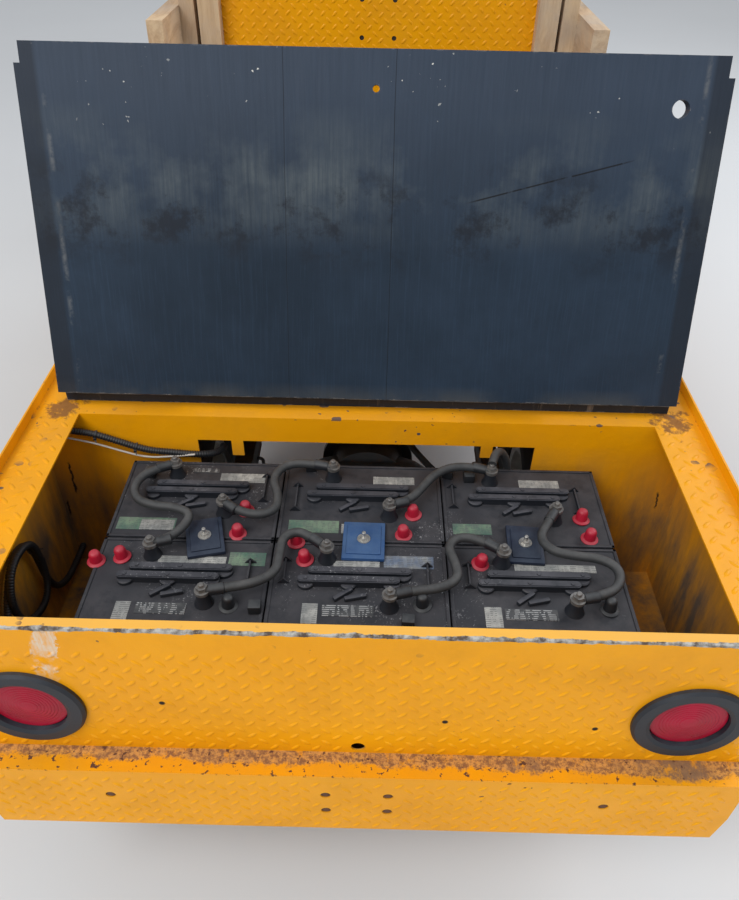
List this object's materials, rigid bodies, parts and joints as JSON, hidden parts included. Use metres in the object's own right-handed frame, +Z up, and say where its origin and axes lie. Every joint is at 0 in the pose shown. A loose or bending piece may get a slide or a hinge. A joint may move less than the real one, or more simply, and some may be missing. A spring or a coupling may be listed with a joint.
{
  "type": "electric burden carrier",
  "caption": "Battery-powered burden carrier with a seat cab, a flat load deck and a raised rear hatch over its battery bay.",
  "frame": {"origin": "ground level under the middle of the vehicle's length and width", "axes": "+Y forward along the vehicle, +X to its right, +Z up"},
  "size_m": [1.105, 3.016, 1.2035],
  "materials": {
    "yellow_paint": "worn gloss enamel over steel",
    "frame_black": "satin black paint",
    "spring_steel": "oiled spring steel with rust",
    "battery_case": "dusty moulded polypropylene",
    "cable_rubber": "dusty rubber jacket",
    "hold_down_plastic": "moulded plastic",
    "loom_plastic": "corrugated conduit",
    "black_board": "black painted plywood, scuffed",
    "hinge_steel": "black steel",
    "timber": "raw softwood",
    "black_vinyl": "grained vinyl",
    "lamp_black": "black enamel",
    "clear_glass": "fluted glass",
    "dash_black": "satin black",
    "cast_black": "painted casting",
    "pedal_rubber": "moulded rubber",
    "grommet_rubber": "moulded rubber",
    "red_lens": "red acrylic",
    "wheel_plastic": "moulded plastic",
    "tyre_rubber": "road tyre rubber",
    "rim_paint": "white enamel"
  },
  "bodies": {
    "root": {"frame_rails": "frame_black", "leaf_springs": "spring_steel", "side_panels": "yellow_paint", "rear_plate": "yellow_paint", "bay_wall": "yellow_paint", "deck_beams": "yellow_paint", "rear_bumper": "yellow_paint", "front_bumper": "yellow_paint", "battery_tray": "yellow_paint", "battery_front_left": "battery_case", "battery_front_middle": "battery_case", "battery_front_right": "battery_case", "battery_rear_left": "battery_case", "battery_rear_middle": "battery_case", "battery_rear_right": "battery_case", "battery_cables": "cable_rubber", "hold_downs": "hold_down_plastic", "wiring_loom": "loom_plastic", "deck_board": "black_board", "deck_hinges": "hinge_steel", "bulkhead": "yellow_paint", "timber_posts": "timber", "timber_rails": "timber", "seat_base": "yellow_paint", "seat_cushion": "black_vinyl", "seat_back": "black_vinyl", "floor_pan": "yellow_paint", "wheel_wells": "yellow_paint", "cowl": "yellow_paint", "headlamp_shells": "lamp_black", "headlamp_lenses": "clear_glass", "dash_panel": "dash_black", "rear_axle": "cast_black", "drive_motor": "cast_black", "front_axle": "cast_black", "steering_column": "frame_black", "pedals": "pedal_rubber", "brake_lever": "frame_black", "tail_grommets": "grommet_rubber", "tail_lenses": "red_lens"},
    "lid": {"battery_lid": "black_board", "lid_hinges": "hinge_steel"},
    "steering_wheel": {"steering_wheel": "wheel_plastic"},
    "pitman_arm": {"pitman_arm": "cast_black"},
    "drag_link": {"drag_link": "cast_black"},
    "tie_rod": {"tie_rod": "cast_black"},
    "knuckle_left": {"knuckle_left": "cast_black"},
    "knuckle_right": {"knuckle_right": "cast_black"},
    "wheel_rear_left": {"tyre_rear_left": "tyre_rubber", "rim_rear_left": "rim_paint"},
    "wheel_rear_right": {"tyre_rear_right": "tyre_rubber", "rim_rear_right": "rim_paint"},
    "wheel_front_left": {"tyre_front_left": "tyre_rubber", "rim_front_left": "rim_paint"},
    "wheel_front_right": {"tyre_front_right": "tyre_rubber", "rim_front_right": "rim_paint"}
  },
  "joints": [
    {"name": "lid_hinge", "type": "hinge", "parent": "root", "child": "lid", "pos_m": [0, -1, 0.704], "axis": [1, 0, 0], "range_deg": [0, 107.4]},
    {"name": "steer_left", "type": "hinge", "parent": "root", "child": "knuckle_left", "pos_m": [-0.35, 1.142, 0.235], "axis": [0, 0, 1], "range_deg": [-30, 30]},
    {"name": "steer_right", "type": "hinge", "parent": "root", "child": "knuckle_right", "pos_m": [0.35, 1.142, 0.235], "axis": [0, 0, 1], "range_deg": [-30, 30]},
    {"name": "tie_rod_pivot", "type": "hinge", "parent": "knuckle_left", "child": "tie_rod", "pos_m": [-0.35, 1.012, 0.1637], "axis": [0, 0, 1], "range_deg": [-30, 30]},
    {"name": "pitman_turn", "type": "hinge", "parent": "root", "child": "pitman_arm", "pos_m": [-0.125, 1.212, 0.235], "axis": [0, 0, 1], "range_deg": [-30, 30]},
    {"name": "drag_link_pivot", "type": "hinge", "parent": "pitman_arm", "child": "drag_link", "pos_m": [-0.125, 1.342, 0.1637], "axis": [0, 0, 1], "range_deg": [-30, 30]},
    {"name": "steering_wheel_turn", "type": "hinge", "parent": "root", "child": "steering_wheel", "pos_m": [-0.16, 0.85, 1.083], "axis": [0, -0.5592, 0.829], "range_deg": [-420, 420]},
    {"name": "spin_rear_left", "type": "hinge", "parent": "root", "child": "wheel_rear_left", "pos_m": [-0.4, -0.718, 0.235], "axis": [1, 0, 0], "continuous": true},
    {"name": "spin_rear_right", "type": "hinge", "parent": "root", "child": "wheel_rear_right", "pos_m": [0.4, -0.718, 0.235], "axis": [1, 0, 0], "continuous": true},
    {"name": "spin_front_left", "type": "hinge", "parent": "knuckle_left", "child": "wheel_front_left", "pos_m": [-0.44, 1.142, 0.235], "axis": [1, 0, 0], "continuous": true},
    {"name": "spin_front_right", "type": "hinge", "parent": "knuckle_right", "child": "wheel_front_right", "pos_m": [0.44, 1.142, 0.235], "axis": [1, 0, 0], "continuous": true}
  ],
  "couplings": [
    {"joint": "steer_right", "follows": "steer_left", "ratio": 1},
    {"joint": "tie_rod_pivot", "follows": "steer_left", "ratio": -1},
    {"joint": "pitman_turn", "follows": "steer_left", "ratio": 1},
    {"joint": "drag_link_pivot", "follows": "steer_left", "ratio": -1},
    {"joint": "steering_wheel_turn", "follows": "steer_left", "ratio": 14}
  ]
}
